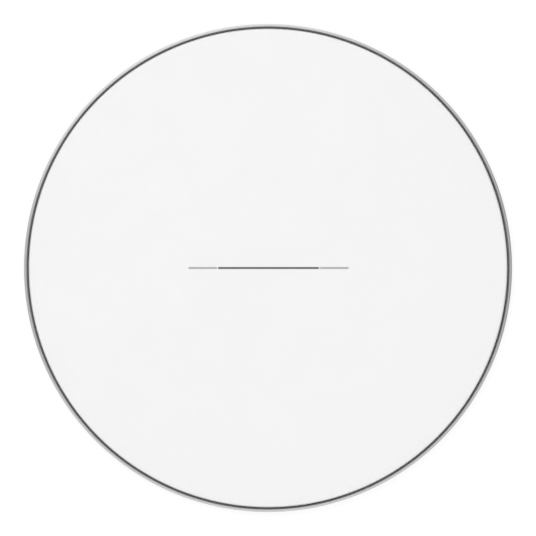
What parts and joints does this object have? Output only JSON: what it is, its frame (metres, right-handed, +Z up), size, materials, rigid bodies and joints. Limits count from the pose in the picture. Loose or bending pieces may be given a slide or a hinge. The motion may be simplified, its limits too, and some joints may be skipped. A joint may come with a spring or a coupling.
{
  "type": "drum head",
  "caption": "Kettle drum head: flat hazy film with a printed centre line, drawn down to a short collar and locked in a rolled metal hoop that drops over the drum's bowl.",
  "frame": {"origin": "centre of the hoop's underside, on the plane that the head lies on", "axes": "+Z up through the playing surface; +X along the printed line; +Y away from the player, towards the top of the picture"},
  "size_m": [0.7874, 0.7874, 0.0201],
  "materials": {
    "hazy_film": "hazy polyester film, half see-through, glossy",
    "hoop_aluminium": "satin, with fine rolling lines round the hoop",
    "dark_steel": "blackened steel bar, half-matt",
    "dark_resin": "poured, dark, half-gloss",
    "dark_ink": "printed, matt",
    "pale_ink": "printed, matt"
  },
  "bodies": {
    "root": {"hoop_channel": "hoop_aluminium", "film_membrane": "hazy_film", "resin_bed": "dark_resin", "insert_ring": "dark_steel", "index_line_middle": "dark_ink", "index_line_ends": "pale_ink"}
  },
  "joints": []
}
